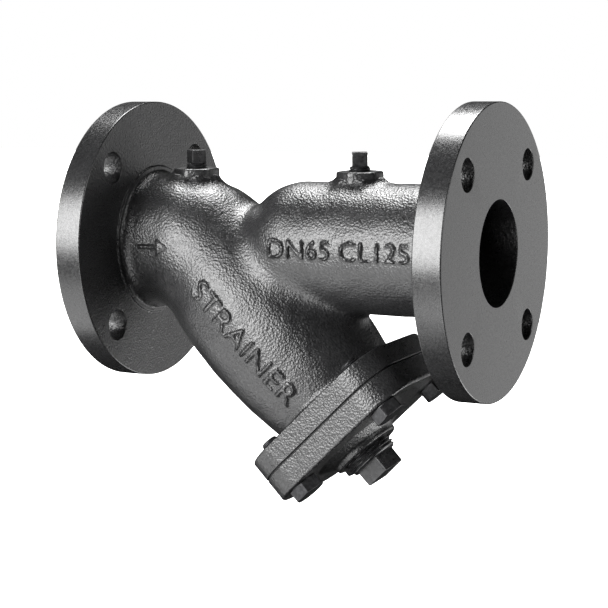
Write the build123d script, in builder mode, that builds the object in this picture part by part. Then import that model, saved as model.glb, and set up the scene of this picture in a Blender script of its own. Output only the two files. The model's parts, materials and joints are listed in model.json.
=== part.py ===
from build123d import *
import os
from math import cos, radians, sin

# Flanged Y strainer, nominal size 2 1/2 in (DN 65), class 125 flat-faced ends.
# Frame: origin at the centre of the inlet flange's face, +X along the flow,
# +Z up, and the screen leg slants down towards the outlet. Millimetres.

INCH = 25.4

# End flanges and pipe run
FACE_TO_FACE = 10 * INCH
FLANGE_DIA = 7 * INCH
FLANGE_THICK = 17.5
FLANGE_CHAMFER = 0.8
BOLT_CIRCLE = 5.5 * INCH
BOLT_HOLE_DIA = 0.75 * INCH
BOLT_COUNT = 4
BORE_DIA = 2.5 * INCH
INLET_BORE_DEPTH = 40.0
OUTLET_BORE_DEPTH = 100.0
PASSAGE_R = 32.5
INLET_NECK_R = 42.0
INLET_DOME_X = 48.0
RUN_R = 40.5
RUN_DOME_X = 128.0
OUTLET_PASSAGE_X = 145.0

# Screen leg: distances are measured along its axis, down from the pipe axis
LEG_ANGLE = 45.9
LEG_CROSSING_X = 56.4
LEG_TOP = -20.0
LEG_WIDEST_AT = 64.0
LEG_WIDEST_R = 50.4
LEG_TOP_R = 31.0
LEG_END_R = 43.4
LEG_FLANGE_BACK = 130.8
LEG_FLANGE_FACE = 144.6
PAD_WIDTH = 98.2
PAD_HEIGHT = 116.0
PAD_CORNER_R = 25.5
PAD_OFFSET = -2.35

# Water way inside the leg
THROAT_R = 32.5
SEAT_AT = 32.0
SEAT_R = 35.6
SEAT_DEPTH = 5.0
CHAMBER_R = 42.0
CHAMBER_START = 44.0
CHAMBER_START_R = 40.5
CHAMBER_END = 88.0
CHAMBER_END_R = 41.0
MOUTH_START = 116.0
MOUTH_R = 36.0

# Gasket and cover
GASKET_THICK = 0.8
GASKET_GAP = 0.05
GASKET_INSET = 1.5
COVER_BACK = LEG_FLANGE_FACE + GASKET_THICK
COVER_FACE = 160.8
COVER_EDGE_R = 1.5
RECESS_FLOOR = 153.8
BOSS_OFFSET = -8.7
BOSS_R = 22.5
BOSS_FACE = 168.8
BOSS_CHAMFER = 1.2
HUMP_R = 33.0
HUMP_RISE = 4.5

# Cover screws: 1/2 in hexagon head, four of them on a rectangle
SCREW_R = 0.25 * INCH
SCREW_HEAD_FLATS = 0.75 * INCH
SCREW_HEAD_HEIGHT = 7.9
SCREW_TIP = 127.1
SCREW_HALF_WIDTH = 36.5
SCREW_UPPER = 38.1
SCREW_LOWER = -38.1
SCREW_CLEARANCE_R = 7.15
THREAD_FIT = 0.07
HEAD_GAP = 0.05
HEAD_CHAMFER = 0.8

# Blow-off plug, 1 in pipe thread, square head
BLOW_THREAD_R = 16.7
BLOW_TIP = 155.3
BLOW_HEAD_AT = 176.8
BLOW_END = 186.8
BLOW_SQUARE = 19.0
BLOW_TURN = 12.0
BLOW_CHAMFER = 1.0

# Gauge bosses and their plugs, 1/4 in pipe thread, square head
GAUGE_X = {"inlet": 48.4, "outlet": 164.0}
GAUGE_TURN = {"inlet": 54.0, "outlet": 27.0}
GAUGE_BOSS_FLATS = 26.5
GAUGE_BOSS_ROOT = 24.0
GAUGE_BOSS_TOP = 46.8
GAUGE_THREAD_R = 6.85
GAUGE_TIP = 36.0
GAUGE_HEAD_AT = 50.5
GAUGE_END = 58.4
GAUGE_SQUARE = 9.5
GAUGE_CHAMFER = 0.5

# Screen
SCREEN_OUTER_R = 34.0
SCREEN_INNER_R = 32.9
SCREEN_END_GAP = 0.4
RING_INNER_R = 34.05
RING_OUTER_R = 35.2
RING_WIDTH = 8.0

LEG_DIR = Vector(cos(radians(LEG_ANGLE)), 0, -sin(radians(LEG_ANGLE)))
LEG_ORIGIN = Vector(LEG_CROSSING_X, 0, 0)
LEG_AXIS = Axis(LEG_ORIGIN, LEG_DIR)
LEG_SECTION = Plane(origin=LEG_ORIGIN, x_dir=LEG_DIR, z_dir=(0, -1, 0))
SCREW_PLACES = {
    "near_upper": (-SCREW_HALF_WIDTH, SCREW_UPPER),
    "near_lower": (-SCREW_HALF_WIDTH, SCREW_LOWER),
    "far_upper": (SCREW_HALF_WIDTH, SCREW_UPPER),
    "far_lower": (SCREW_HALF_WIDTH, SCREW_LOWER),
}
SCREW_TURN = {"near_upper": 48.0, "near_lower": 34.0, "far_upper": 34.0, "far_lower": 10.0}

os.makedirs("parts", exist_ok=True)


def across_leg(distance):
    """Plane square to the leg axis, its x to the far side and its y to the upper side."""
    return Plane(origin=LEG_ORIGIN + LEG_DIR * distance, x_dir=(0, 1, 0), z_dir=LEG_DIR)


def save(part, name):
    """Label a finished piece and write it as its own STEP file."""
    part.label = name
    export_step(part, f"parts/{name}.step")


# ---- body casting ----
with BuildPart() as body:
    # inlet flange, neck and rounded end, turned about the pipe axis
    with BuildSketch(Plane.XZ):
        with BuildLine():
            Polyline(
                (0, 0),
                (0, FLANGE_DIA / 2 - FLANGE_CHAMFER),
                (FLANGE_CHAMFER, FLANGE_DIA / 2),
                (FLANGE_THICK - FLANGE_CHAMFER, FLANGE_DIA / 2),
                (FLANGE_THICK, FLANGE_DIA / 2 - FLANGE_CHAMFER),
                (FLANGE_THICK, INLET_NECK_R),
                (INLET_DOME_X, INLET_NECK_R),
            )
            CenterArc((INLET_DOME_X, 0), INLET_NECK_R, 0, 90)
            Line((INLET_DOME_X + INLET_NECK_R, 0), (0, 0))
        make_face()
    revolve(axis=Axis.X)

    # outlet run and flange, turned about the pipe axis
    with BuildSketch(Plane.XZ):
        with BuildLine():
            Polyline(
                (FACE_TO_FACE, 0),
                (FACE_TO_FACE, FLANGE_DIA / 2 - FLANGE_CHAMFER),
                (FACE_TO_FACE - FLANGE_CHAMFER, FLANGE_DIA / 2),
                (FACE_TO_FACE - FLANGE_THICK + FLANGE_CHAMFER, FLANGE_DIA / 2),
                (FACE_TO_FACE - FLANGE_THICK, FLANGE_DIA / 2 - FLANGE_CHAMFER),
                (FACE_TO_FACE - FLANGE_THICK, RUN_R),
                (RUN_DOME_X, RUN_R),
            )
            CenterArc((RUN_DOME_X, 0), RUN_R, 90, 90)
            Line((RUN_DOME_X - RUN_R, 0), (FACE_TO_FACE, 0))
        make_face()
    revolve(axis=Axis.X)

    # barrel-shaped leg, turned about its own axis, slimmer at the top than at the cover
    with BuildSketch(LEG_SECTION):
        with BuildLine():
            upper = TangentArc((LEG_WIDEST_AT, LEG_WIDEST_R), (LEG_TOP, LEG_TOP_R), tangent=(-1, 0))
            lower = TangentArc((LEG_WIDEST_AT, LEG_WIDEST_R), (LEG_FLANGE_BACK, LEG_END_R), tangent=(1, 0))
            Polyline(lower @ 1, (LEG_FLANGE_BACK, 0), (LEG_TOP, 0), upper @ 1)
        make_face()
    revolve(axis=LEG_AXIS)

    # rounded rectangular flange at the end of the leg
    with BuildSketch(across_leg(LEG_FLANGE_BACK)):
        with Locations((0, PAD_OFFSET)):
            RectangleRounded(PAD_WIDTH, PAD_HEIGHT, PAD_CORNER_R)
    extrude(amount=LEG_FLANGE_FACE - LEG_FLANGE_BACK)

    # hexagonal gauge bosses on top of the pipe
    with BuildSketch(Plane.XY.offset(GAUGE_BOSS_ROOT)):
        with Locations(*[(x, 0) for x in GAUGE_X.values()]):
            RegularPolygon(GAUGE_BOSS_FLATS / 2, 6, major_radius=False)
    extrude(amount=GAUGE_BOSS_TOP - GAUGE_BOSS_ROOT)

    # machined inlet bore, cast passage with a round end, then the throat down to the screen seat
    with BuildSketch(Plane.XZ):
        with BuildLine():
            Polyline(
                (0, 0),
                (0, BORE_DIA / 2),
                (INLET_BORE_DEPTH, BORE_DIA / 2),
                (INLET_BORE_DEPTH, PASSAGE_R),
                (LEG_CROSSING_X, PASSAGE_R),
            )
            CenterArc((LEG_CROSSING_X, 0), PASSAGE_R, 0, 90)
            Line((LEG_CROSSING_X + PASSAGE_R, 0), (0, 0))
        make_face()
    revolve(axis=Axis.X, mode=Mode.SUBTRACT)
    with BuildSketch(across_leg(0)):
        Circle(THROAT_R)
    extrude(amount=SEAT_AT, mode=Mode.SUBTRACT)

    # machined outlet bore and cast passage with a round end
    with BuildSketch(Plane.XZ):
        with BuildLine():
            Polyline(
                (FACE_TO_FACE, 0),
                (FACE_TO_FACE, BORE_DIA / 2),
                (FACE_TO_FACE - OUTLET_BORE_DEPTH, BORE_DIA / 2),
                (FACE_TO_FACE - OUTLET_BORE_DEPTH, PASSAGE_R),
                (OUTLET_PASSAGE_X, PASSAGE_R),
            )
            CenterArc((OUTLET_PASSAGE_X, 0), PASSAGE_R, 90, 90)
            Line((OUTLET_PASSAGE_X - PASSAGE_R, 0), (FACE_TO_FACE, 0))
        make_face()
    revolve(axis=Axis.X, mode=Mode.SUBTRACT)

    # screen seat, swollen chamber round the screen, and the mouth of the leg
    with BuildSketch(LEG_SECTION):
        with BuildLine():
            Polyline(
                (SEAT_AT, 0),
                (SEAT_AT, SEAT_R),
                (SEAT_AT + SEAT_DEPTH, SEAT_R),
                (CHAMBER_START, CHAMBER_START_R),
                (LEG_WIDEST_AT, CHAMBER_R),
                (CHAMBER_END, CHAMBER_END_R),
                (MOUTH_START, MOUTH_R),
                (LEG_FLANGE_FACE, MOUTH_R),
                (LEG_FLANGE_FACE, 0),
                close=True,
            )
        make_face()
    revolve(axis=LEG_AXIS, mode=Mode.SUBTRACT)

    # bolt holes through both end flanges, straddling the centre lines
    for start in (0, FACE_TO_FACE - FLANGE_THICK):
        with BuildSketch(Plane.YZ.offset(start)):
            with PolarLocations(BOLT_CIRCLE / 2, BOLT_COUNT, start_angle=45):
                Circle(BOLT_HOLE_DIA / 2)
        extrude(amount=FLANGE_THICK, mode=Mode.SUBTRACT)

    # tapped holes for the cover screws
    with BuildSketch(across_leg(LEG_FLANGE_BACK)):
        with Locations(*SCREW_PLACES.values()):
            Circle(SCREW_R + THREAD_FIT)
    extrude(amount=LEG_FLANGE_FACE - LEG_FLANGE_BACK, mode=Mode.SUBTRACT)

    # tapped gauge holes down into the water way
    with BuildSketch(Plane.XY):
        with Locations(*[(x, 0) for x in GAUGE_X.values()]):
            Circle(GAUGE_THREAD_R + THREAD_FIT)
    extrude(amount=GAUGE_BOSS_TOP, mode=Mode.SUBTRACT)
save(body.part, "body")

# ---- cover ----
with BuildPart() as cover:
    with BuildSketch(across_leg(COVER_BACK)):
        with Locations((0, PAD_OFFSET)):
            RectangleRounded(PAD_WIDTH, PAD_HEIGHT, PAD_CORNER_R)
    extrude(amount=COVER_FACE - COVER_BACK)
    fillet(cover.faces().sort_by(LEG_AXIS)[-1].edges(), COVER_EDGE_R)

    # low hump that rises to the boss
    with BuildSketch(across_leg(COVER_FACE)):
        with Locations((0, BOSS_OFFSET)):
            Circle(HUMP_R)
    with BuildSketch(across_leg(COVER_FACE + HUMP_RISE)):
        with Locations((0, BOSS_OFFSET)):
            Circle(BOSS_R)
    loft()

    # round boss for the blow-off plug, off centre towards the low side
    with BuildSketch(across_leg(COVER_FACE)):
        with Locations((0, BOSS_OFFSET)):
            Circle(BOSS_R)
    extrude(amount=BOSS_FACE - COVER_FACE)
    chamfer(cover.faces().sort_by(LEG_AXIS)[-1].edges(), BOSS_CHAMFER)

    # recess that holds the lower end of the screen
    with BuildSketch(across_leg(COVER_BACK)):
        Circle(SEAT_R)
    extrude(amount=RECESS_FLOOR - COVER_BACK, mode=Mode.SUBTRACT)

    # tapped hole for the blow-off plug
    with BuildSketch(across_leg(RECESS_FLOOR)):
        with Locations((0, BOSS_OFFSET)):
            Circle(BLOW_THREAD_R + THREAD_FIT)
    extrude(amount=BOSS_FACE - RECESS_FLOOR, mode=Mode.SUBTRACT)

    # clearance holes for the screws
    with BuildSketch(across_leg(COVER_BACK)):
        with Locations(*SCREW_PLACES.values()):
            Circle(SCREW_CLEARANCE_R)
    extrude(amount=COVER_FACE - COVER_BACK, mode=Mode.SUBTRACT)
save(cover.part, "cover")

# ---- gasket between leg flange and cover ----
with BuildPart() as gasket:
    with BuildSketch(across_leg(LEG_FLANGE_FACE + GASKET_GAP)):
        with Locations((0, PAD_OFFSET)):
            RectangleRounded(
                PAD_WIDTH - 2 * GASKET_INSET,
                PAD_HEIGHT - 2 * GASKET_INSET,
                PAD_CORNER_R - GASKET_INSET,
            )
        Circle(MOUTH_R, mode=Mode.SUBTRACT)
        with Locations(*SCREW_PLACES.values()):
            Circle(SCREW_CLEARANCE_R, mode=Mode.SUBTRACT)
    extrude(amount=GASKET_THICK - GASKET_GAP)
save(gasket.part, "cover_gasket")

# ---- cover screws ----
for place, (across, up) in SCREW_PLACES.items():
    with BuildPart() as screw:
        with BuildSketch(across_leg(SCREW_TIP)):
            with Locations((across, up)):
                Circle(SCREW_R)
        extrude(amount=COVER_FACE + HEAD_GAP - SCREW_TIP)
        chamfer(screw.faces().sort_by(LEG_AXIS)[0].edges(), HEAD_CHAMFER)
        with BuildSketch(across_leg(COVER_FACE + HEAD_GAP)):
            with Locations((across, up)):
                RegularPolygon(SCREW_HEAD_FLATS / 2, 6, major_radius=False, rotation=SCREW_TURN[place])
        extrude(amount=SCREW_HEAD_HEIGHT)
        chamfer(screw.faces().sort_by(LEG_AXIS)[-1].edges(), HEAD_CHAMFER)
    save(screw.part, f"cover_screw_{place}")

# ---- blow-off plug ----
with BuildPart() as blow_off:
    with BuildSketch(across_leg(BLOW_TIP)):
        with Locations((0, BOSS_OFFSET)):
            Circle(BLOW_THREAD_R)
    extrude(amount=BLOW_HEAD_AT - BLOW_TIP)
    chamfer(blow_off.faces().sort_by(LEG_AXIS)[0].edges(), BLOW_CHAMFER)
    chamfer(blow_off.faces().sort_by(LEG_AXIS)[-1].edges(), BLOW_CHAMFER)
    with BuildSketch(across_leg(BLOW_HEAD_AT)):
        with Locations(Location((0, BOSS_OFFSET, 0), (0, 0, BLOW_TURN))):
            Rectangle(BLOW_SQUARE, BLOW_SQUARE)
    extrude(amount=BLOW_END - BLOW_HEAD_AT)
    chamfer(blow_off.faces().sort_by(LEG_AXIS)[-1].edges(), BLOW_CHAMFER)
save(blow_off.part, "blow_off_plug")

# ---- gauge plugs ----
for end, x in GAUGE_X.items():
    with BuildPart() as plug:
        with BuildSketch(Plane.XY.offset(GAUGE_TIP)):
            with Locations((x, 0)):
                Circle(GAUGE_THREAD_R)
        extrude(amount=GAUGE_HEAD_AT - GAUGE_TIP)
        chamfer(plug.faces().sort_by(Axis.Z)[0].edges(), GAUGE_CHAMFER)
        chamfer(plug.faces().sort_by(Axis.Z)[-1].edges(), GAUGE_CHAMFER)
        with BuildSketch(Plane.XY.offset(GAUGE_HEAD_AT)):
            with Locations(Location((x, 0, 0), (0, 0, GAUGE_TURN[end]))):
                Rectangle(GAUGE_SQUARE, GAUGE_SQUARE)
        extrude(amount=GAUGE_END - GAUGE_HEAD_AT)
        chamfer(plug.faces().sort_by(Axis.Z)[-1].edges(), GAUGE_CHAMFER)
    save(plug.part, f"{end}_gauge_plug")

# ---- screen: rolled sheet and a band round each end ----
SCREEN_TOP = SEAT_AT + SCREEN_END_GAP
SCREEN_BOTTOM = RECESS_FLOOR - SCREEN_END_GAP
with BuildPart() as screen:
    with BuildSketch(across_leg(SCREEN_TOP)):
        Circle(SCREEN_OUTER_R)
        Circle(SCREEN_INNER_R, mode=Mode.SUBTRACT)
    extrude(amount=SCREEN_BOTTOM - SCREEN_TOP)
save(screen.part, "screen_sheet")

for name, start in (("upper", SCREEN_TOP), ("lower", SCREEN_BOTTOM - RING_WIDTH)):
    with BuildPart() as ring:
        with BuildSketch(across_leg(start)):
            Circle(RING_OUTER_R)
            Circle(RING_INNER_R, mode=Mode.SUBTRACT)
        extrude(amount=RING_WIDTH)
    save(ring.part, f"screen_{name}_band")
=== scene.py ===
"""Looks for a flanged Y strainer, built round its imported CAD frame."""
import json
import math

import bmesh
import bpy
import numpy as np
from mathutils import Matrix, Vector


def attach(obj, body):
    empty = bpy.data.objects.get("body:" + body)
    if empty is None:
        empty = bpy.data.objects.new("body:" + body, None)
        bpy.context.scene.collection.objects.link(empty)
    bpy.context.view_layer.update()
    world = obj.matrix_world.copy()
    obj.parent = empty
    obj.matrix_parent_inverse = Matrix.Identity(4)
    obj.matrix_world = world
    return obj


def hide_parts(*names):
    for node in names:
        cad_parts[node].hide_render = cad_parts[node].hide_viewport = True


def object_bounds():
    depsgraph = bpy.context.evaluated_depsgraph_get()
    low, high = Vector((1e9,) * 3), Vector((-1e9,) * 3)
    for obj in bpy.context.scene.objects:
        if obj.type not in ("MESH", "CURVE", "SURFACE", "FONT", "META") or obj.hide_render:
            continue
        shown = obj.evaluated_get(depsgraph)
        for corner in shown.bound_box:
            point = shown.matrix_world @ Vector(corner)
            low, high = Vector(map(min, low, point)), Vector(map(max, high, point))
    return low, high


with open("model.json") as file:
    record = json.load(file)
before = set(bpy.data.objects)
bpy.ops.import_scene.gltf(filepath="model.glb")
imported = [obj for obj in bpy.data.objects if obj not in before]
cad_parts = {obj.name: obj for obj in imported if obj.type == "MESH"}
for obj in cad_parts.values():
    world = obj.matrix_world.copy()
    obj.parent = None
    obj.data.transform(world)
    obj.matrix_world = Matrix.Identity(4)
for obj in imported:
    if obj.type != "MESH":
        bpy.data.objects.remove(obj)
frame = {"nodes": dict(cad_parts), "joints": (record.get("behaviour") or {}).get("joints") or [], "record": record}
cad_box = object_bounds()

MM = 0.001
TAU = 2 * math.pi
nodes = frame["nodes"]
joints = {joint["name"]: joint for joint in frame["joints"]}
mounts = {mount["name"]: mount["dims"] for mount in frame["record"]["mounts"]}

# Sizes are in millimetres. A place is (along, across, up) in one of three sets of axes:
# the pipe's, the leg's, and a gauge plug's, each a tuple of origin, along, across and up.
X_AXIS, Y_AXIS, Z_AXIS = np.eye(3)
PIPE = (np.zeros(3), X_AXIS, Y_AXIS, Z_AXIS)


# ---- places and sizes read from the frame ----
def node_points(name):
    """Corner points of a CAD node."""
    points = np.zeros(len(nodes[name].data.vertices) * 3)
    nodes[name].data.vertices.foreach_get("co", points)
    return points.reshape(-1, 3) / MM


def leg_axes():
    """Axes of the leg, from the cover's slide and from the screen's band, which is centred on them."""
    along = np.array(joints["cover_slide"]["axis"], float)
    along /= np.linalg.norm(along)
    up = np.cross(along, Y_AXIS)
    band = node_points("screen_lower_band") @ up
    crossing = (band.min() + band.max()) / 2 / up[0]
    return np.array([crossing, 0, 0]), along, Y_AXIS, up


def seen_from(points, axes):
    """World points as (along, across, up)."""
    return (points - axes[0]) @ np.stack(axes[1:], 1)


def placed(local, axes):
    """World points of (along, across, up)."""
    return axes[0] + np.asarray(local, float) @ np.stack(axes[1:])


LEG = leg_axes()


def box_of(name, axes=PIPE):
    """Lowest and highest corner of a CAD node."""
    local = seen_from(node_points(name), axes)
    return local.min(0), local.max(0)


body_low, body_high = box_of("body")
cover_low, cover_high = box_of("cover", LEG)
gasket_low = box_of("cover_gasket", LEG)[0]
sheet_low, sheet_high = box_of("screen_sheet", LEG)
FACE_TO_FACE = body_high[0]
FLANGE_R = body_high[2]
BORE_R = mounts["outlet_bore"]["r_mm"]
INLET_BORE = mounts["inlet_bore"]["length_mm"]
OUTLET_BORE = mounts["outlet_bore"]["length_mm"]
BOLT_CIRCLE_R = mounts["outlet_bolts"]["pcd_mm"] / 2
BOLT_HOLE_R = mounts["outlet_bolts"]["hole_r_mm"]
PAD_WIDTH = cover_high[1] - cover_low[1]
PAD_HEIGHT = cover_high[2] - cover_low[2]
PAD_MIDDLE = (cover_high[2] + cover_low[2]) / 2
PAD_FACE = gasket_low[0] - 0.05
SCREWS = [name for name in sorted(nodes) if name.startswith("cover_screw_")]


def headed_part(name, axes, head_r):
    """Facts of a screw or plug: its middle, its ends, where its head starts and its head's corner."""
    local = seen_from(node_points(name), axes)
    tip = local[local[:, 0] < local[:, 0].min() + 0.1]
    middle = (tip.min(0) + tip.max(0)) / 2
    across, up = local[:, 1] - middle[1], local[:, 2] - middle[2]
    radius = np.hypot(across, up)
    end = local[:, 0].max()
    wide = local[radius > head_r, 0]
    head_at = wide.min() if end - wide.max() < 2 else wide.max()
    in_head = local[:, 0] > end - 2
    corner = np.flatnonzero(in_head)[np.argmax(radius[in_head])]
    turn = math.atan2(up[corner], across[corner])
    return {"middle": middle[1:], "tip": middle[0], "head": head_at, "end": end, "turn": turn}


SCREW_R = 6.35
SCREW_FLATS = 19.05
SCREW_PITCH = 1.954
SCREW_HEAD_SLOPE = math.radians(14)
BLOW_R = 16.7
BLOW_SQUARE = 19.0
BLOW_PITCH = 2.209
BLOW_CORE_R = 11.0
GAUGE_R = 6.85
GAUGE_SQUARE = 9.5
GAUGE_PITCH = 1.411
screw_facts = {name: headed_part(name, LEG, SCREW_R + 1) for name in SCREWS}
blow_facts = headed_part("blow_off_plug", LEG, BLOW_R - 0.5)


def gauge_axes(end):
    """Upright axes through a gauge plug."""
    low, high = box_of(f"{end}_gauge_plug")
    return np.array([(low[0] + high[0]) / 2, 0, 0]), Z_AXIS, X_AXIS, Y_AXIS


GAUGES = {end: gauge_axes(end) for end in ("inlet", "outlet")}

# ---- sizes of the castings that the frame doesn't state ----
FLANGE_T = 17.5
FLANGE_EDGE = 0.8
HUB_R = 50
HUB_BLEND = 9
NECK_R = 42.0
NECK_END_X = 44.0
NECK_BLEND = 9
RUN_R = 40.2
RUN_DROP = 0.4
RUN_END_X = 128.5
RUN_BLEND = 11
PASSAGE_R = 32.5
THROAT_R = 32.5
OUTLET_END_X = 145.0
LEG_TOP = -20.0
LEG_R = 49.75
LEG_WIDEST_AT = 67.8
LEG_TAPER_UPPER = 0.00192
LEG_TAPER_LOWER = 0.0017
LEG_SHIFT = -1.9
LEG_SHIFT_RATE = 0.0155
PAD_BACK = 130.8
PAD_CORNER_R = 25.5
PAD_EDGE = 1.2
PAD_BLEND = 4
SEAT_AT = 32.0
SEAT_R = 35.6
MOUTH_R = 36.0
BOSS_FLATS = 26.5
BOSS_TOP = 46.8
BOSS_ROUND_R = 14.2
BOSS_BLEND = 9
BOSS_EDGE = ((1.4, 0), (0.6, 0.25), (0.15, 0.8), (0, 1.5))
COVER_FACE = screw_facts[SCREWS[0]]["head"] - 0.05
RECESS_FLOOR = sheet_high[0] + 0.4
SCREW_CLEARANCE_R = 7.15
STEP = 1.2


# ---- distances, negative inside ----
def smooth_min(a, b, width):
    """The smaller of two distances, rounded where they meet."""
    mix = np.clip(0.5 + 0.5 * (b - a) / width, 0, 1)
    return b + (a - b) * mix - width * mix * (1 - mix)


def smooth_max(a, b, width):
    """The larger of two distances, rounded where they meet."""
    return -smooth_min(-a, -b, width)


def capsule(points, start, end, radius, drop=0.0):
    """A rod along X with round ends."""
    x = points[:, 0]
    past = x - np.clip(x, start, end)
    return np.sqrt(past**2 + points[:, 1] ** 2 + (points[:, 2] + drop) ** 2) - radius


def rounded_rectangle(across, up, width, height, corner):
    """A rectangle with round corners."""
    a = np.abs(across) - (width / 2 - corner)
    b = np.abs(up) - (height / 2 - corner)
    return np.minimum(np.maximum(a, b), 0) + np.hypot(np.maximum(a, 0), np.maximum(b, 0)) - corner


def hexagon(x, y, flats):
    """A hexagon with corners on the x axis."""
    a, b = np.abs(x), np.abs(y)
    return np.maximum(b, a * math.cos(TAU / 12) + b * 0.5) - flats / 2


def leg_shape(along, across, up):
    """The barrel-shaped leg, whose middle drifts a little towards the upper side."""
    up = up - LEG_SHIFT - LEG_SHIFT_RATE * along
    taper = np.where(along < LEG_WIDEST_AT, LEG_TAPER_UPPER, LEG_TAPER_LOWER)
    barrel = np.hypot(across, up) - LEG_R + taper * (along - LEG_WIDEST_AT) ** 2
    return smooth_max(barrel, LEG_TOP - along, 16)


def waviness(points):
    """Slow unevenness of a sand casting."""
    x, y, z = points.T
    slow = np.sin(x / 6.1 + 1.3 * np.sin(y / 9.7)) * np.sin(z / 7.3 + 0.7)
    quick = np.sin((x + y) / 3.9) * np.sin((z - y) / 4.7 + 2.1)
    return 0.15 * slow + 0.09 * quick


# ---- raised marks: plain words and a flow arrow, in relief on the near side ----
RELIEF = 1.4
MARK_CELL = 0.2
ARROW = ((-11, 1.1), (3, 1.1), (3, 5.2), (11, 0), (3, -5.2), (3, -1.1), (-11, -1.1))


def arrow_outline():
    """Edges of the flow arrow."""
    points = np.array(ARROW, float)
    return np.stack([points, np.roll(points, -1, 0)], 1)


def word_outline(words, width, height):
    """Edges of a word in the built-in font, stretched to a width and height round its middle."""
    text = bpy.data.curves.new("words", "FONT")
    text.body = words
    text.resolution_u = 5
    holder = bpy.data.objects.new("words", text)
    bpy.context.scene.collection.objects.link(holder)
    shapes = bpy.context.evaluated_depsgraph_get()
    mesh = bpy.data.meshes.new_from_object(holder.evaluated_get(shapes))
    filled = bmesh.new()
    filled.from_mesh(mesh)
    bmesh.ops.remove_doubles(filled, verts=filled.verts, dist=1e-5)
    rim = [e for e in filled.edges if len(e.link_faces) == 1]
    edges = np.array([[tuple(v.co)[:2] for v in e.verts] for e in rim])
    filled.free()
    bpy.data.objects.remove(holder)
    low, high = edges.min((0, 1)), edges.max((0, 1))
    return (edges - (low + high) / 2) / (high - low) * (width, height)


def depth_inside(edges, points):
    """Distance to an outline, negative inside it."""
    start, run = edges[:, 0], edges[:, 1] - edges[:, 0]
    gap = points[:, None] - start
    share = np.clip((gap * run).sum(2) / (run**2).sum(1), 0, 1)
    distance = np.linalg.norm(gap - share[:, :, None] * run, axis=2).min(1)
    above = points[:, None, 1] < start[:, 1]
    crosses = above != (points[:, None, 1] < edges[:, 1, 1])
    rise = np.where(run[:, 1] == 0, 1, run[:, 1])
    where = start[:, 0] + (points[:, None, 1] - start[:, 1]) * run[:, 0] / rise
    inside = (crosses & (where > points[:, None, 0])).sum(1) % 2 == 1
    return np.where(inside, -distance, distance)


def mark(edges, axes):
    """A mark's distances on a grid, its lowest corner, and the axes that it lies in."""
    low = edges.min((0, 1)) - 2
    counts = np.ceil((edges.max((0, 1)) + 2 - low) / MARK_CELL).astype(int) + 1
    grid = np.stack(np.meshgrid(*[np.arange(n) for n in counts], indexing="ij"), -1)
    places = low + grid.reshape(-1, 2) * MARK_CELL
    slices = [depth_inside(edges, places[i : i + 4000]) for i in range(0, len(places), 4000)]
    return {"depth": np.concatenate(slices).reshape(counts), "low": low, "axes": axes}


def marks():
    """All the marks of the casting, each with axes whose third one points off the near side."""
    leg_along, leg_up = LEG[1], LEG[3]
    leg_middle = LEG[0] + leg_along * 75.5 - leg_up * 2.2
    near = -Y_AXIS
    return (
        mark(word_outline("STRAINER", 94, 14), (leg_middle, leg_along, leg_up, near)),
        mark(word_outline("DN65 CL125", 93, 11.5), (np.array([167.5, 0, 2.0]), X_AXIS, Z_AXIS, near)),
        mark(arrow_outline(), (np.array([40.5, 0, 0]), X_AXIS, Z_AXIS, near)),
    )


MARKS = marks()


def grid_place(points, one):
    """Where points fall in a mark's grid, and which of them it covers."""
    local = seen_from(points, one["axes"])
    cell = (local[:, :2] - one["low"]) / MARK_CELL
    inside = (cell >= 0).all(1) & (cell < np.array(one["depth"].shape) - 1).all(1) & (local[:, 2] > 0)
    return cell, inside


def relief(points):
    """How far the marks stand out of the surface."""
    height = np.zeros(len(points))
    for one in MARKS:
        cell, inside = grid_place(points, one)
        cell = cell[inside]
        base = cell.astype(int)
        part = cell - base
        depth = one["depth"]
        i, j = base.T
        low = depth[i, j] * (1 - part[:, 0]) + depth[i + 1, j] * part[:, 0]
        high = depth[i, j + 1] * (1 - part[:, 0]) + depth[i + 1, j + 1] * part[:, 0]
        edge = np.clip((0.45 - (low * (1 - part[:, 1]) + high * part[:, 1])) / 1.0, 0, 1)
        height[inside] = RELIEF * edge * edge * (3 - 2 * edge)
    return height


def casting_skin(points):
    """Distance to the outside of the cast body, without its flanges."""
    x, y, z = points.T
    along, across, up = seen_from(points, LEG).T
    leg = leg_shape(along, across, up)
    leg = np.maximum(leg, along - PAD_BACK - 4)
    neck = capsule(points, -20, NECK_END_X, NECK_R)
    run = capsule(points, RUN_END_X, FACE_TO_FACE + 20, RUN_R, RUN_DROP)
    shape = smooth_min(neck, leg, NECK_BLEND)
    shape = smooth_min(shape, run, RUN_BLEND)
    pipe_r = np.hypot(y, z)
    for low, high in ((-20, FLANGE_T - 0.3), (FACE_TO_FACE - FLANGE_T + 0.3, FACE_TO_FACE + 20)):
        root = np.maximum(np.maximum(low - x, x - high), pipe_r - HUB_R)
        shape = smooth_min(shape, root, HUB_BLEND)
    shape = shape + waviness(points)
    pad = rounded_rectangle(across, up - PAD_MIDDLE, PAD_WIDTH - 3, PAD_HEIGHT - 3, PAD_CORNER_R - 1.5)
    pad = np.maximum(pad, np.abs(along - PAD_BACK - 4) - 3.7)
    shape = smooth_min(shape, pad, PAD_BLEND)
    for axes in GAUGES.values():
        boss = np.maximum(hexagon(x - axes[0][0], y, BOSS_FLATS - 0.8), np.abs(z - 20) - 22)
        shape = smooth_min(shape, boss, BOSS_BLEND)
    return shape - relief(points)


def casting_core(points):
    """The casting's skin, cut off inside the two end flanges."""
    x = points[:, 0]
    return np.maximum(casting_skin(points), np.maximum(FLANGE_T - 4 - x, x - (FACE_TO_FACE - FLANGE_T + 4)))


# ---- meshes of distance fields ----
def in_slices(distance, points, size=400000):
    """A distance worked out a slice at a time, to save memory."""
    return np.concatenate([distance(points[i : i + size]) for i in range(0, len(points), size)])


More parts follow.
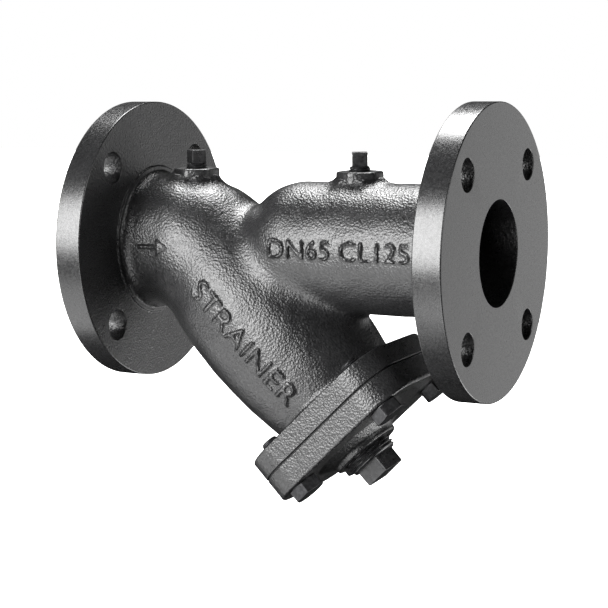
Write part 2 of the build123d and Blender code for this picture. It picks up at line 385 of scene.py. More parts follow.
def gradient(distance, points, reach=0.05):
    """Unit normals of a distance field."""
    slopes = []
    for axis in np.eye(3) * reach:
        slopes.append(in_slices(distance, points + axis) - in_slices(distance, points - axis))
    slopes = np.stack(slopes, 1)
    return slopes / np.maximum(np.linalg.norm(slopes, axis=1, keepdims=True), 1e-9)


def crossings(field, axis):
    """Grid edges along an axis that the surface cuts: their lower ends, cuts, and which start inside."""
    one, two = (axis + 1) % 3, (axis + 2) % 3
    first = np.take(field, range(field.shape[axis] - 1), axis)
    last = np.take(field, range(1, field.shape[axis]), axis)
    cut = (first < 0) != (last < 0)
    where = np.argwhere(cut)
    place = where.astype(float)
    place[:, axis] += first[cut] / (first[cut] - last[cut])
    inner = (where[:, one] > 0) & (where[:, two] > 0)
    inner &= (where[:, one] < field.shape[one] - 1) & (where[:, two] < field.shape[two] - 1)
    return where[inner], place[inner], (first[cut] < 0)[inner]


def net_of(distance, low, high, step):
    """Corner points and quads of the surface of a distance field, by the surface nets method."""
    counts = np.ceil((np.asarray(high) - low) / step).astype(int) + 1
    axes = [low[i] + step * np.arange(counts[i]) for i in range(3)]
    grid = np.stack(np.meshgrid(*axes, indexing="ij"), -1).reshape(-1, 3)
    field = in_slices(distance, grid).reshape(counts)
    total = np.zeros((*(counts - 1), 3))
    hits = np.zeros(counts - 1)
    quads = []
    for axis in range(3):
        where, place, outward = crossings(field, axis)
        ring = []
        for back_one, back_two in ((1, 1), (0, 1), (0, 0), (1, 0)):
            cell = where.copy()
            cell[:, (axis + 1) % 3] -= back_one
            cell[:, (axis + 2) % 3] -= back_two
            np.add.at(total, tuple(cell.T), place)
            np.add.at(hits, tuple(cell.T), 1)
            ring.append(np.ravel_multi_index(tuple(cell.T), counts - 1))
        ring = np.stack(ring, 1)
        ring[~outward] = ring[~outward][:, ::-1]
        quads.append(ring)
    used = np.flatnonzero(hits.ravel())
    points = total.reshape(-1, 3)[used] / hits.ravel()[used][:, None] * step + low
    order = np.zeros(hits.size, int)
    order[used] = np.arange(len(used))
    return points, order[np.concatenate(quads)]


def settle(distance, points, step, rounds=4):
    """Moves points onto the surface of a distance field."""
    for _ in range(rounds):
        shift = in_slices(distance, points)[:, None] * gradient(distance, points)
        length = np.linalg.norm(shift, axis=1, keepdims=True)
        points = points - shift * np.minimum(1, 0.5 * step / np.maximum(length, 1e-9))
    return points


# ---- meshes of rings and profiles ----
def ring_points(along, radius, steps):
    """A ring of points; its place along and its radius may differ from point to point."""
    angles = TAU * np.arange(steps) / steps
    radius, along = np.broadcast_to(radius, steps), np.broadcast_to(along, steps)
    return np.stack([along, radius * np.cos(angles), radius * np.sin(angles)], 1)


def skin_faces(count, steps, closed):
    """Faces over a stack of rings, with flat ends unless the stack closes on itself."""
    index = np.arange(count * steps).reshape(count, steps)
    if closed:
        index = np.concatenate([index, index[:1]])
    after = np.roll(index, -1, 1)
    sides = np.stack([index[:-1], after[:-1], after[1:], index[1:]], -1).reshape(-1, 4).tolist()
    return sides if closed else sides + [index[0][::-1].tolist(), index[-1].tolist()]


def mesh_object(name, points, faces, axes=PIPE):
    """A new Blender object from points and faces, with its normals outwards."""
    mesh = bpy.data.meshes.new(name)
    mesh.from_pydata((placed(points, axes) * MM).tolist(), [], faces)
    shape = bmesh.new()
    shape.from_mesh(mesh)
    bmesh.ops.remove_doubles(shape, verts=shape.verts, dist=1e-6)
    bmesh.ops.recalc_face_normals(shape, faces=shape.faces)
    shape.to_mesh(mesh)
    shape.free()
    piece = bpy.data.objects.new(name, mesh)
    bpy.context.scene.collection.objects.link(piece)
    return piece


def stacked(name, rings, axes, closed=False):
    """A solid over a stack of rings that have the same number of points."""
    rings = np.stack(rings)
    return mesh_object(name, rings.reshape(-1, 3), skin_faces(*rings.shape[:2], closed), axes)


def rounded_path(corners, closed=False, steps=5):
    """A path of (along, radius) through corners of (along, radius, rounding)."""
    corners = np.array(corners, float)
    path = []
    for i, (*here, rounding) in enumerate(corners):
        here = np.array(here)
        if rounding == 0 or (not closed and i in (0, len(corners) - 1)):
            path.append(here)
            continue
        back, on = corners[i - 1, :2] - here, corners[(i + 1) % len(corners), :2] - here
        back, on = back / np.linalg.norm(back), on / np.linalg.norm(on)
        half = math.acos(np.clip(back @ on, -1, 1)) / 2
        middle = here + (back + on) / np.linalg.norm(back + on) * rounding / math.sin(half)
        first = here + back * rounding / math.tan(half) - middle
        last = here + on * rounding / math.tan(half) - middle
        sweep = math.pi - 2 * half
        for share in np.linspace(0, 1, steps):
            ends = math.sin((1 - share) * sweep) * first + math.sin(share * sweep) * last
            path.append(middle + ends / math.sin(sweep))
    return path


def turned(name, corners, axes, closed=False, steps=128, middle=(0, 0)):
    """A solid of revolution about the axes' first one, or about a line beside it."""
    rings = [ring_points(a, max(r, 0.001), steps) for a, r in rounded_path(corners, closed)]
    rings = [ring + (0, *middle) for ring in rings]
    return stacked(name, rings, axes, closed)


def rectangle_ring(along, width, height, corner, middle, steps=14):
    """A ring of points round a rectangle with round corners."""
    points = []
    for quarter in range(4):
        start = TAU / 4 * quarter
        side = np.sign([math.cos(start + TAU / 8), math.sin(start + TAU / 8)])
        centre = side * (width / 2 - corner, height / 2 - corner) + middle
        angles = start + TAU / 4 * np.arange(steps) / (steps - 1)
        points += [(along, *(centre + corner * np.array([math.cos(a), math.sin(a)]))) for a in angles]
    return np.array(points)


def slab(name, start, end, start_edge, end_edge):
    """A slab with the outline of the cover, with rounded edges."""
    rings = []
    profile = rounded_path([(start, 10, 0), (start, 0, start_edge), (end, 0, end_edge), (end, 10, 0)])
    for along, inset in profile[1:-1]:
        size = PAD_WIDTH - 2 * inset, PAD_HEIGHT - 2 * inset
        rings.append(rectangle_ring(along, *size, PAD_CORNER_R - inset, (0, PAD_MIDDLE)))
    return stacked(name, rings, LEG)


def polygon_radius(angles, sides, flats, turn, blunt=1.0):
    """Radius of a polygon with a corner towards turn; blunt under 1 cuts its corners round."""
    wedge = TAU / sides
    radius = flats / 2 / np.cos((angles - turn) % wedge - wedge / 2)
    return np.minimum(radius, blunt * flats / 2 / math.cos(wedge / 2))


def combine(base, others, operation):
    """Joins or cuts a solid with others, which are used up."""
    for other in others:
        modifier = base.modifiers.new("combine", "BOOLEAN")
        modifier.operation = operation
        modifier.solver = "MANIFOLD"
        modifier.object = other
    return applied(base, others)


def applied(piece, used=()):
    """Makes a piece's modifiers part of its mesh, and removes the pieces that they used."""
    shapes = bpy.context.evaluated_depsgraph_get()
    mesh = bpy.data.meshes.new_from_object(piece.evaluated_get(shapes))
    piece.modifiers.clear()
    piece.data = mesh
    for other in used:
        bpy.data.objects.remove(other)
    return piece


def shaded(piece, sharp):
    """Smooth shading with edges over an angle kept sharp, and flat faces kept flat."""
    piece.data.polygons.foreach_set("use_smooth", [True] * len(piece.data.polygons))
    piece.data.set_sharp_from_angle(angle=math.radians(sharp))
    weighted = piece.modifiers.new("weighted", "WEIGHTED_NORMAL")
    weighted.keep_sharp = True
    return applied(piece)


# ---- the cast body ----
def refined(points, quads):
    """The casting's net with its squares split finely under the marks."""
    shape = bmesh.new()
    corners = [shape.verts.new(p) for p in points.tolist()]
    for quad in quads.tolist():
        shape.faces.new([corners[i] for i in quad])
    marked = np.zeros(len(points), bool)
    for one in MARKS:
        marked |= grid_place(points, one)[1]
    facing = gradient(casting_core, points)[:, 1] < -0.3
    marked &= facing
    edges = [e for e in shape.edges if marked[e.verts[0].index] and marked[e.verts[1].index]]
    bmesh.ops.subdivide_edges(shape, edges=edges, cuts=3, use_grid_fill=True)
    shape.verts.ensure_lookup_table()
    points = np.array([v.co for v in shape.verts], float)
    faces = [[v.index for v in f.verts] for f in shape.faces]
    shape.free()
    return points, faces


def cast_core():
    """The cast body between the flanges, solid."""
    low = np.array([FLANGE_T - 6, -PAD_WIDTH / 2 - 5, body_low[2] - 4])
    high = np.array([FACE_TO_FACE - FLANGE_T + 6, PAD_WIDTH / 2 + 5, BOSS_TOP + 4])
    points, quads = net_of(casting_core, low, high, STEP)
    points = settle(casting_core, points, STEP, 2)
    points, faces = refined(points, quads)
    return mesh_object("body_core", settle(casting_core, points, STEP / 2), faces)


def end_flange(name, axes, sleeve):
    """One end flange with a machined sleeve that reaches into the pipe, from its face inwards."""
    corners = (
        (0, BORE_R, 0.5), (0, FLANGE_R, FLANGE_EDGE), (FLANGE_T, FLANGE_R, FLANGE_EDGE),
        (FLANGE_T, 48.0, 0.6), (FLANGE_T + 1.1, 47.2, 0.6), (FLANGE_T + 1.1, BORE_R + 4, 0),
        (sleeve, BORE_R + 4, 0), (sleeve, BORE_R, 0),
    )
    flange = turned(name, corners, axes, closed=True, steps=160)
    return combine(flange, bolt_holes(axes), "DIFFERENCE")


def bolt_holes(axes):
    """Cutters for an end flange's bolt holes, each a little wider at both faces."""
    rim = BOLT_HOLE_R + 1.6
    corners = (
        (-1, 0, 0), (-1, rim, 0), (0.6, BOLT_HOLE_R, 0), (FLANGE_T - 0.6, BOLT_HOLE_R, 0),
        (FLANGE_T + 1, rim, 0), (FLANGE_T + 1, 0, 0),
    )
    cutters = []
    for turn in range(4):
        angle = TAU / 8 + TAU / 4 * turn
        middle = BOLT_CIRCLE_R * math.cos(angle), BOLT_CIRCLE_R * math.sin(angle)
        cutters.append(turned("bolt_hole", corners, axes, steps=48, middle=middle))
    return cutters


def gauge_boss(axes):
    """Well-rounded six-sided boss for a gauge plug, its top edge eased."""
    steps = 96
    angles = TAU * np.arange(steps) / steps
    full = 0.5 * (polygon_radius(angles, 6, BOSS_FLATS, TAU / 12, 0.975) + BOSS_ROUND_R)
    rings = [ring_points(34, full, steps)]
    for down, inset in BOSS_EDGE:
        rings.append(ring_points(BOSS_TOP - down, full - inset, steps))
    return stacked("gauge_boss", rings, axes)


def rod(name, axes, start, end, radius, middle=(0, 0), steps=64):
    """A plain round cutter."""
    corners = (start, 0, 0), (start, radius, 0), (end, radius, 0), (end, 0, 0)
    return turned(name, corners, axes, steps=steps, middle=middle)


def water_ways():
    """Cutters for the hollow inside: inlet, throat, chamber with its screen seat, and outlet."""
    inlet_end, outlet_end = LEG[0][0], OUTLET_END_X
    inlet = (
        (INLET_BORE - 5, 0, 0), (INLET_BORE - 5, PASSAGE_R - 2, 0), (INLET_BORE, PASSAGE_R, 0),
        (inlet_end + PASSAGE_R, PASSAGE_R, PASSAGE_R - 0.2), (inlet_end + PASSAGE_R, 0, 0),
    )
    outlet = (
        (outlet_end - PASSAGE_R, 0, 0), (outlet_end - PASSAGE_R, PASSAGE_R, PASSAGE_R - 0.2),
        (FACE_TO_FACE - OUTLET_BORE, PASSAGE_R, 0), (FACE_TO_FACE - OUTLET_BORE + 5, PASSAGE_R - 2, 0),
        (FACE_TO_FACE - OUTLET_BORE + 5, 0, 0),
    )
    chamber = (
        (SEAT_AT, 0, 0), (SEAT_AT, SEAT_R, 0), (SEAT_AT + 5, SEAT_R, 0), (44, 40.5, 0),
        (64, 42, 60), (88, 41, 60), (116, MOUTH_R, 20), (PAD_FACE + 5, MOUTH_R, 0), (PAD_FACE + 5, 0, 0),
    )
    return (
        turned("inlet_passage", inlet, PIPE),
        turned("outlet_passage", outlet, PIPE),
        rod("throat", LEG, 0, SEAT_AT + 1, THROAT_R, steps=128),
        turned("chamber", chamber, LEG),
        rod("inlet_bore", PIPE, -5, INLET_BORE + 1, BORE_R - 0.01, steps=160),
        rod("outlet_bore", PIPE, FACE_TO_FACE - OUTLET_BORE - 1, FACE_TO_FACE + 5, BORE_R - 0.01, steps=160),
    )


def tappings():
    """Cutters for the tapped holes of the cover screws and gauge plugs."""
    holes = [rod("gauge_hole", axes, 25, BOSS_TOP + 5, GAUGE_R + 0.07) for axes in GAUGES.values()]
    for facts in screw_facts.values():
        holes.append(rod("screw_hole", LEG, PAD_BACK - 6, PAD_FACE + 5, SCREW_R + 0.07, facts["middle"]))
    return holes


def cast_body():
    """The whole cast body, one closed mesh."""
    outlet_axes = (X_AXIS * FACE_TO_FACE, -X_AXIS, Y_AXIS, -Z_AXIS)
    joined = [
        end_flange("inlet_flange", PIPE, INLET_BORE),
        end_flange("outlet_flange", outlet_axes, OUTLET_BORE),
        slab("leg_flange", PAD_BACK, PAD_FACE, PAD_EDGE, 0.7),
        *[gauge_boss(axes) for axes in GAUGES.values()],
    ]
    body = combine(cast_core(), joined, "UNION")
    body = combine(body, [*water_ways(), *tappings()], "DIFFERENCE")
    body.name = "body_casting"
    return shaded(body, 55)


# ---- the cast cover ----
BOSS_R = 22.5
HUMP_R = 33.0
HUMP_RISE = 4.5


def cast_cover():
    """The cover: a slab with a hump that rises to the round boss of the blow-off plug."""
    boss_face = cover_high[0]
    middle = blow_facts["middle"]
    hump = (
        (COVER_FACE - 4, 0, 0), (COVER_FACE - 4, HUMP_R + 6, 0), (COVER_FACE - 0.2, HUMP_R + 6, 0),
        (COVER_FACE - 0.1, HUMP_R, 6), (COVER_FACE + HUMP_RISE, BOSS_R, 3), (boss_face, BOSS_R, 1.2),
        (boss_face, 0, 0),
    )
    cover = slab("cover_casting", cover_low[0], COVER_FACE, 0.7, 1.8)
    cover = combine(cover, [turned("hump", hump, LEG, middle=middle)], "UNION")
    recess = rod("recess", LEG, cover_low[0] - 5, RECESS_FLOOR, SEAT_R, steps=128)
    thread = rod("thread", LEG, RECESS_FLOOR - 1, boss_face + 5, BLOW_R + 0.07, middle, 96)
    holes = [
        rod("screw_hole", LEG, cover_low[0] - 5, COVER_FACE + 5, SCREW_CLEARANCE_R, facts["middle"])
        for facts in screw_facts.values()
    ]
    return shaded(combine(cover, [recess, thread, *holes], "DIFFERENCE"), 40)


# ---- screws and plugs ----
def thread_rings(start, end, radius, pitch, depth, steps, taper=0.0):
    """Rings of a screw thread that fades out at both ends."""
    rings = []
    count = int((end - start) / pitch * 10)
    turn = np.arange(steps) / steps
    for i in range(count + 1):
        along = start + (end - start) * i / count
        wave = np.abs(2 * ((along / pitch - turn) % 1) - 1)
        ridge = np.clip(1.25 * wave - 0.12, 0, 1)
        fade = min(1, (along - start) / pitch, (end - along) / (0.6 * pitch))
        drop = taper * (end - along)
        rings.append(ring_points(along, radius - drop - depth * (1 - ridge * fade), steps))
    return rings


def cover_screw(name, facts):
    """A hexagon-head screw: rolled thread, washer face and a head with its corners turned off."""
    steps = 72
    angles = TAU * np.arange(steps) / steps
    hexagonal = polygon_radius(angles, 6, SCREW_FLATS, facts["turn"])
    face_r = SCREW_FLATS / 2 * 0.96
    slope = np.maximum(hexagonal - face_r, 0) * math.tan(SCREW_HEAD_SLOPE)
    tip, head, end = facts["tip"], facts["head"], facts["end"]
    rings = [ring_points(tip, SCREW_R - 1.6, steps)]
    rings += thread_rings(tip + 0.6, head - 3, SCREW_R, SCREW_PITCH, 1.1, steps)
    rings += [ring_points(head - 2, SCREW_R - 0.4, steps), ring_points(head, SCREW_R - 0.4, steps)]
    rings += [ring_points(head, face_r - 0.2, steps), ring_points(head + 0.4, face_r - 0.2, steps)]
    rings += [ring_points(head + 0.4 + slope * 0.6, hexagonal, steps)]
    rings += [ring_points(end - 0.15 - slope, hexagonal, steps)]
    rings += [ring_points(end, np.minimum(hexagonal, face_r) - 0.15, steps)]
    rings = [ring + (0, *facts["middle"]) for ring in rings]
    return shaded(stacked(name, rings, LEG), 32)


def square_plug(name, facts, axes, radius, pitch, square, hollow):
    """A pipe plug: tapered thread, square head with blunt corners, and a cored inner end."""
    steps = 96
    angles = TAU * np.arange(steps) / steps
    head = polygon_radius(angles, 4, square, facts["turn"], 0.985)
    start, shoulder, end = facts["tip"], facts["head"], facts["end"]
    depth = 0.64 * pitch
    draft = 0.012 * (end - shoulder)
    edge = 0.05 * square
    rings = [ring_points(start + 1.2 * hollow, hollow * 0.92, steps)] if hollow else []
    rings = [ring_points(shoulder - 3, hollow * 0.85, steps)] + rings if hollow else rings
    rings += [ring_points(start, hollow, steps)] if hollow else []
    rings += [ring_points(start, radius - depth - 0.5, steps)]
    rings += thread_rings(start + 0.4, shoulder - 0.5, radius, pitch, depth, steps, 1 / 32)
    rings += [ring_points(shoulder, radius - depth - 1.0, steps), ring_points(shoulder, head, steps)]
    rings += [ring_points(end - edge, head - draft, steps)]
    rings += [ring_points(end - 0.3 * edge, head - draft - 0.3 * edge, steps)]
    rings += [ring_points(end, head - draft - edge, steps)]
    rings = [ring + (0, *facts["middle"]) for ring in rings]
    return shaded(stacked(name, rings, axes), 32)


# ---- screen ----
HOLE_PITCH = 4.0
HOLE_R = 1.25
SHEET_T = 1.1
SHEET_PLAIN_END = 9


def hole_cell(row_height, width):
    """A sheet cell's eight outer points and the eight points of its hole, round the cell's middle."""
    a, b = width / 2, row_height / 2
    outer = [(a, 0), (a, b), (0, b), (-a, b), (-a, 0), (-a, -b), (0, -b), (a, -b)]
    angles = TAU / 8 * np.arange(8)
    return np.array(outer), HOLE_R * np.stack([np.cos(angles), np.sin(angles)], 1)


def perforated_sheet():
    """The rolled screen: a tube with rows of round holes, plain at its ends."""
    radius = (sheet_high[1] - sheet_low[1]) / 2 - SHEET_T / 2
    columns = round(TAU * radius / HOLE_PITCH)
    width = TAU * radius / columns
    start, end = sheet_low[0] + SHEET_PLAIN_END, sheet_high[0] - SHEET_PLAIN_END
    rows = int((end - start) / (HOLE_PITCH * math.sin(TAU / 6)))
    height = (end - start) / rows
    outer, hole = hole_cell(height, width)
    points, faces = [], []
    for row in range(rows):
        for column in range(columns):
            middle = ((column + row % 2 / 2) * width, start + (row + 0.5) * height)
            base = len(points)
            points += (outer + middle).tolist() + (hole + middle).tolist()
            faces += [[base + i, base + (i + 1) % 8, base + 8 + (i + 1) % 8, base + 8 + i] for i in range(8)]
    for low, high in ((sheet_low[0], start), (end, sheet_high[0])):
        for half in range(2 * columns):
            base = len(points)
            left, right = half * width / 2, (half + 1) * width / 2
            points += [[left, low], [right, low], [right, high], [left, high]]
            faces.append([base, base + 1, base + 2, base + 3])
    flat = np.array(points)
    angle = flat[:, 0] / radius
    rolled = np.stack([flat[:, 1], radius * np.cos(angle), radius * np.sin(angle)], 1)
    sheet = mesh_object("screen_perforated_sheet", rolled, faces, LEG)
    solid = sheet.modifiers.new("solid", "SOLIDIFY")
    solid.thickness = SHEET_T * MM
    solid.offset = 0
    return shaded(applied(sheet), 30)


def build_pieces():
    """Every piece that stands for a CAD node: (piece, node, body, slot)."""
    pieces = [
        (cast_body(), "body", "casting", "casting"),
        (cast_cover(), "cover", "cover_set", "casting"),
        (perforated_sheet(), "screen_sheet", "screen", "screen"),
        (square_plug("blow_off_pipe_plug", blow_facts, LEG, BLOW_R, BLOW_PITCH, BLOW_SQUARE, BLOW_CORE_R),
         "blow_off_plug", "blow_off", "plug"),
    ]
    for name, facts in screw_facts.items():
        place = name.replace("cover_screw_", "")
        pieces.append((cover_screw(f"hex_screw_{place}", facts), name, f"screw_{place}", "fastener"))
    for end, axes in GAUGES.items():
        node = f"{end}_gauge_plug"
        facts = headed_part(node, axes, GAUGE_R - 0.05)
        plug = square_plug(f"{end}_pipe_plug", facts, axes, GAUGE_R, GAUGE_PITCH, GAUGE_SQUARE, 0)
        pieces.append((plug, node, f"{end}_plug", "plug"))
    return pieces


# ---- materials ----
class Recipe:
    """A node material in the making: each method adds a node and returns its output."""

    def __init__(self, name):
        self.material = bpy.data.materials.new(name)
        self.material.use_nodes = True
        self.tree = self.material.node_tree
        self.shader = self.tree.nodes["Principled BSDF"]
        self.place = self.add("ShaderNodeTexCoord").outputs["Object"]

    def add(self, kind, **settings):
        node = self.tree.nodes.new(kind)
        for key, value in settings.items():
            setattr(node, key, value)
        return node

    def feed(self, socket, value):
        """Links an output to a socket, or sets the socket to a plain value."""
        if isinstance(value, bpy.types.NodeSocket):
            self.tree.links.new(value, socket)
        else:
            socket.default_value = value

    def noise(self, size, detail=3.0, rough=0.6, place=None):
        """Noise from 0 to 1 whose lumps are about size millimetres across."""
        node = self.add("ShaderNodeTexNoise")
        self.feed(node.inputs["Vector"], place or self.place)
        node.inputs["Scale"].default_value = 1 / (size * MM)
        node.inputs["Detail"].default_value = detail
        node.inputs["Roughness"].default_value = rough
        return node.outputs["Fac"]

    def cells(self, size):
        """Distance to scattered points that are about size millimetres apart."""
        node = self.add("ShaderNodeTexVoronoi")
        self.feed(node.inputs["Vector"], self.place)
        node.inputs["Scale"].default_value = 1 / (size * MM)
        return node.outputs["Distance"]

    def math(self, operation, a, b=0.0):
        node = self.add("ShaderNodeMath", operation=operation)
        self.feed(node.inputs[0], a)
        self.feed(node.inputs[1], b)
        return node.outputs[0]

    def ramp(self, value, low, high, out_low, out_high):
        """Maps a value from one range to another, held at both ends."""
        node = self.add("ShaderNodeMapRange")
        self.feed(node.inputs["Value"], value)
        for key, number in zip(("From Min", "From Max", "To Min", "To Max"), (low, high, out_low, out_high)):
            node.inputs[key].default_value = number
        return node.outputs["Result"]

    def blend(self, share, first, second):
        """A colour between two colours."""
        node = self.add("ShaderNodeMix", data_type="RGBA")
        self.feed(node.inputs[0], share)
        self.feed(node.inputs[6], first if isinstance(first, bpy.types.NodeSocket) else (*first, 1))
        self.feed(node.inputs[7], second if isinstance(second, bpy.types.NodeSocket) else (*second, 1))
        return node.outputs[2]

    def bump(self, height, depth, strength=1.0, normal=None):
        """Relief of the given depth in millimetres."""
        node = self.add("ShaderNodeBump")
        self.feed(node.inputs["Height"], height)
        node.inputs["Distance"].default_value = depth * MM
        node.inputs["Strength"].default_value = strength
        if normal:
            self.feed(node.inputs["Normal"], normal)
        return node.outputs["Normal"]

    def finish(self, colour, roughness, normal, metallic=0.0, coat=0.0, coat_roughness=0.2):
        sockets = self.shader.inputs
        self.feed(sockets["Base Color"], colour)
        self.feed(sockets["Roughness"], roughness)
        self.feed(sockets["Normal"], normal)
        sockets["Metallic"].default_value = metallic
        sockets["Coat Weight"].default_value = coat
        sockets["Coat Roughness"].default_value = coat_roughness
        return self.material


def varnished_casting():
    """Sand-cast iron under a satin black varnish, with the sand's grain showing through."""
    m = Recipe("varnished_casting")
    stain = m.ramp(m.noise(38, 5), 0.35, 0.65, 0, 1)
    speck = m.ramp(m.noise(1.6, 4, 0.7), 0.42, 0.66, 0, 1)
    colour = m.blend(stain, (0.005, 0.005, 0.0052), (0.010, 0.010, 0.0104))
    colour = m.blend(speck, colour, (0.016, 0.016, 0.0165))
    roughness = m.ramp(m.noise(2.4, 4, 0.7), 0.35, 0.7, 0.26, 0.40)
    normal = m.bump(m.noise(7, 3), 0.35, 0.35)
    normal = m.bump(m.cells(1.4), 0.34, 0.7, normal)
    normal = m.bump(m.noise(1.1, 3, 0.7), 0.28, 0.6, normal)
    return m.finish(colour, roughness, normal)


def turned_face():
    """The varnished, turned faces of the end flanges, with faint tool marks."""
    m = Recipe("turned_face")
    split = m.add("ShaderNodeSeparateXYZ")
    m.feed(split.inputs[0], m.place)
    x, y, z = split.outputs
    radius = m.math("SQRT", m.math("ADD", m.math("MULTIPLY", y, y), m.math("MULTIPLY", z, z)))
    marks = m.math("SINE", m.math("MULTIPLY", m.math("ADD", radius, x), TAU / (0.8 * MM)))
    stain = m.ramp(m.noise(30, 5), 0.35, 0.65, 0, 1)
    speck = m.ramp(m.noise(1.3, 4, 0.75), 0.45, 0.68, 0, 1)
    colour = m.blend(stain, (0.006, 0.006, 0.0062), (0.011, 0.011, 0.0114))
    colour = m.blend(speck, colour, (0.018, 0.018, 0.0185))
    roughness = m.ramp(m.noise(1.8, 4, 0.7), 0.35, 0.7, 0.20, 0.33)
    normal = m.bump(marks, 0.012, 0.35)
    normal = m.bump(m.noise(1.1, 3, 0.7), 0.12, 0.45, normal)
    return m.finish(colour, roughness, normal)


def black_steel():
    """Black-oxide steel of the cover screws."""
    m = Recipe("black_steel")
    wear = m.ramp(m.noise(2.5, 4), 0.45, 0.7, 0, 1)
    colour = m.blend(wear, (0.020, 0.020, 0.021), (0.045, 0.045, 0.047))
    roughness = m.ramp(m.noise(1.2, 3), 0.3, 0.7, 0.26, 0.42)
    return m.finish(colour, roughness, m.bump(m.noise(0.8, 2), 0.04, 0.5), metallic=0.7)


def malleable_iron():
    """Black malleable iron of the pipe plugs, a little rougher than the screws."""
    m = Recipe("malleable_iron")
    wear = m.ramp(m.noise(3, 4), 0.4, 0.7, 0, 1)
    colour = m.blend(wear, (0.010, 0.010, 0.0105), (0.026, 0.026, 0.027))
    roughness = m.ramp(m.noise(1.5, 3), 0.3, 0.7, 0.24, 0.38)
    normal = m.bump(m.noise(4, 3), 0.2, 0.4)
    normal = m.bump(m.noise(0.7, 2), 0.08, 0.5, normal)
    return m.finish(colour, roughness, normal, metallic=0.3)


def graphite_sheet():
    """Matt graphite gasket sheet."""
    m = Recipe("graphite_sheet")
    colour = m.blend(m.noise(0.9, 3), (0.010, 0.010, 0.010), (0.030, 0.030, 0.030))
    return m.finish(colour, 0.85, m.bump(m.noise(0.5, 2), 0.05, 0.6))


def stainless_sheet():
    """Satin stainless steel of the screen, brushed along the sheet."""
    m = Recipe("stainless_sheet")
    stretched = m.add("ShaderNodeMapping")
    m.feed(stretched.inputs["Vector"], m.place)
    stretched.inputs["Rotation"].default_value = (0, math.asin(-LEG[1][2]), 0)
    stretched.inputs["Scale"].default_value = (0.06, 1, 1)
    brushed = m.noise(0.5, 3, 0.6, stretched.outputs[0])
    colour = m.blend(brushed, (0.42, 0.42, 0.41), (0.60, 0.60, 0.58))
    roughness = m.ramp(brushed, 0.3, 0.7, 0.24, 0.40)
    return m.finish(colour, roughness, m.bump(brushed, 0.02, 0.5), metallic=1.0)


def dress(piece, *materials):
    """Gives a piece its materials."""
    piece.data.materials.clear()
    for material in materials:
        piece.data.materials.append(material)


def mark_turned_faces(piece):
    """Puts the second material on the faces and rims of the end flanges."""
    mesh = piece.data
    centre = np.zeros(len(mesh.polygons) * 3)
    mesh.polygons.foreach_get("center", centre)
    x, y, z = centre.reshape(-1, 3).T / MM
    ends = (x < FLANGE_T + 0.5) | (x > FACE_TO_FACE - FLANGE_T - 0.5)
    rim = ends & (np.hypot(y, z) > FLANGE_R - FLANGE_EDGE - 0.5)
    face = (x < FLANGE_EDGE) | (x > FACE_TO_FACE - FLANGE_EDGE)
    mesh.polygons.foreach_set("material_index", (rim | face).astype(np.int32))
    mesh.update()


# ---- camera, light and floor ----
CAMERA_AZIMUTH = math.radians(27.42)
CAMERA_ELEVATION = math.radians(8.42)
CAMERA_ROLL = math.radians(-0.79)
CAMERA_DISTANCE = 1.0279
CAMERA_RIGHT = -0.0018
CAMERA_UP = -0.0366
CAMERA_LENS = 97.72


def add_camera():
    """A camera that looks at the middle of the pipe from the outlet's near side."""
    away = Vector((
        math.sin(CAMERA_AZIMUTH) * math.cos(CAMERA_ELEVATION),
        -math.cos(CAMERA_AZIMUTH) * math.cos(CAMERA_ELEVATION),
        math.sin(CAMERA_ELEVATION),
    ))
    level = Vector((math.cos(CAMERA_AZIMUTH), math.sin(CAMERA_AZIMUTH), 0))
    upright = away.cross(level)
    right = level * math.cos(CAMERA_ROLL) + upright * math.sin(CAMERA_ROLL)
    up = upright * math.cos(CAMERA_ROLL) - level * math.sin(CAMERA_ROLL)
    target = Vector((FACE_TO_FACE / 2 * MM, 0, 0))
    place = target + away * CAMERA_DISTANCE + right * CAMERA_RIGHT + up * CAMERA_UP
    lens = bpy.data.cameras.new("camera")
    lens.lens = CAMERA_LENS
    lens.clip_end = 50
    camera = bpy.data.objects.new("camera", lens)
    camera.matrix_world = Matrix((
        (right.x, up.x, away.x, place.x),
        (right.y, up.y, away.y, place.y),
        (right.z, up.z, away.z, place.z),
        (0, 0, 0, 1),
    ))
    bpy.context.scene.collection.objects.link(camera)
    bpy.context.scene.camera = camera


MIDDLE = (Vector(cad_box[0]) + Vector(cad_box[1])) / 2
FLOOR_Z = -0.45
FLOOR_HALF = 8.0
FLOOR_GLOW = 0.9

# each softbox: degrees to the camera's left, degrees up, its width in degrees and its strength
SOFTBOXES = {
    "key": (50, 15, 45, 9.0),
    "front_bounce": (30, -35, 45, 2.5),
    "left_kicker": (90, -35, 45, 1.5),
    "right_panel": (-60, 15, 30, 1.5),
    "face_panel": (-125, -5, 45, 0.5),
    "low_right": (-110, -35, 30, 1.5),
    "rim": (180, 60, 30, 6.0),
}
LAMP_DISTANCE = 1.0


def softbox_direction(left, elevation):
    """Unit vector towards a softbox, from degrees to the camera's left and degrees up."""
    bearing = CAMERA_AZIMUTH - math.radians(left)
    flat = math.cos(math.radians(elevation))
    return Vector((flat * math.sin(bearing), -flat * math.cos(bearing), math.sin(math.radians(elevation))))


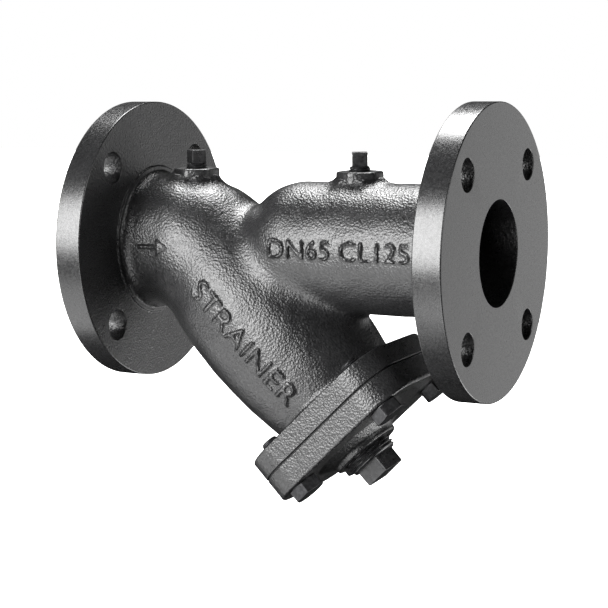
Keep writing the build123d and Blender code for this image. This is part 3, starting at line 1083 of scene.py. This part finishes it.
def add_lights():
    """Soft studio light: a broad key at the left, panels at the right, a rim light and weak bounces."""
    for name, (left, elevation, width, strength) in SOFTBOXES.items():
        lamp = bpy.data.lights.new(f"{name}_softbox", "SUN")
        lamp.angle = math.radians(width)
        lamp.energy = strength
        towards = softbox_direction(left, elevation)
        holder = bpy.data.objects.new(lamp.name, lamp)
        holder.location = MIDDLE + towards * LAMP_DISTANCE
        holder.rotation_euler = (-towards).to_track_quat("-Z", "Y").to_euler()
        holder.visible_camera = False
        bpy.context.scene.collection.objects.link(holder)


def add_floor():
    """A plain pale floor, far enough below for the cover to be drawn out."""
    mesh = bpy.data.meshes.new("floor")
    signs = (-1, -1), (1, -1), (1, 1), (-1, 1)
    corners = [(x * FLOOR_HALF, y * FLOOR_HALF, FLOOR_Z) for x, y in signs]
    mesh.from_pydata(corners, [], [(0, 1, 2, 3)])
    floor = bpy.data.objects.new("floor", mesh)
    bpy.context.scene.collection.objects.link(floor)
    m = Recipe("pale_floor")
    pale = m.blend(m.noise(60, 2), (0.86, 0.86, 0.86), (0.90, 0.90, 0.90))
    m.finish(pale, 0.9, m.bump(m.noise(3, 2), 0.01, 0.1))
    m.shader.inputs["Emission Color"].default_value = (1, 1, 1, 1)
    m.shader.inputs["Emission Strength"].default_value = FLOOR_GLOW
    floor.visible_diffuse = False
    floor.visible_glossy = False
    floor.visible_shadow = False
    dress(floor, m.material)


def add_world():
    """A white backdrop that gives no light of its own."""
    world = bpy.data.worlds.new("studio")
    bpy.context.scene.world = world
    world.use_nodes = True
    tree = world.node_tree
    path = tree.nodes.new("ShaderNodeLightPath")
    tree.links.new(path.outputs["Is Camera Ray"], tree.nodes["Background"].inputs["Strength"])
    tree.nodes["Background"].inputs["Color"].default_value = (1, 1, 1, 1)


# ---- the build ----
add_camera()
finish_of = {
    "casting": varnished_casting(), "fastener": black_steel(), "plug": malleable_iron(),
    "gasket": graphite_sheet(), "screen": stainless_sheet(),
}
dress(nodes["cover_gasket"], finish_of["gasket"])
for band in ("screen_upper_band", "screen_lower_band"):
    dress(nodes[band], finish_of["screen"])
for piece, node, body, slot in build_pieces():
    dress(piece, finish_of[slot])
    if node == "body":
        dress(piece, finish_of[slot], turned_face())
        mark_turned_faces(piece)
    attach(piece, body)
    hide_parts(node)
add_floor()
add_world()
add_lights()
bpy.context.scene.view_settings.view_transform = "Standard"
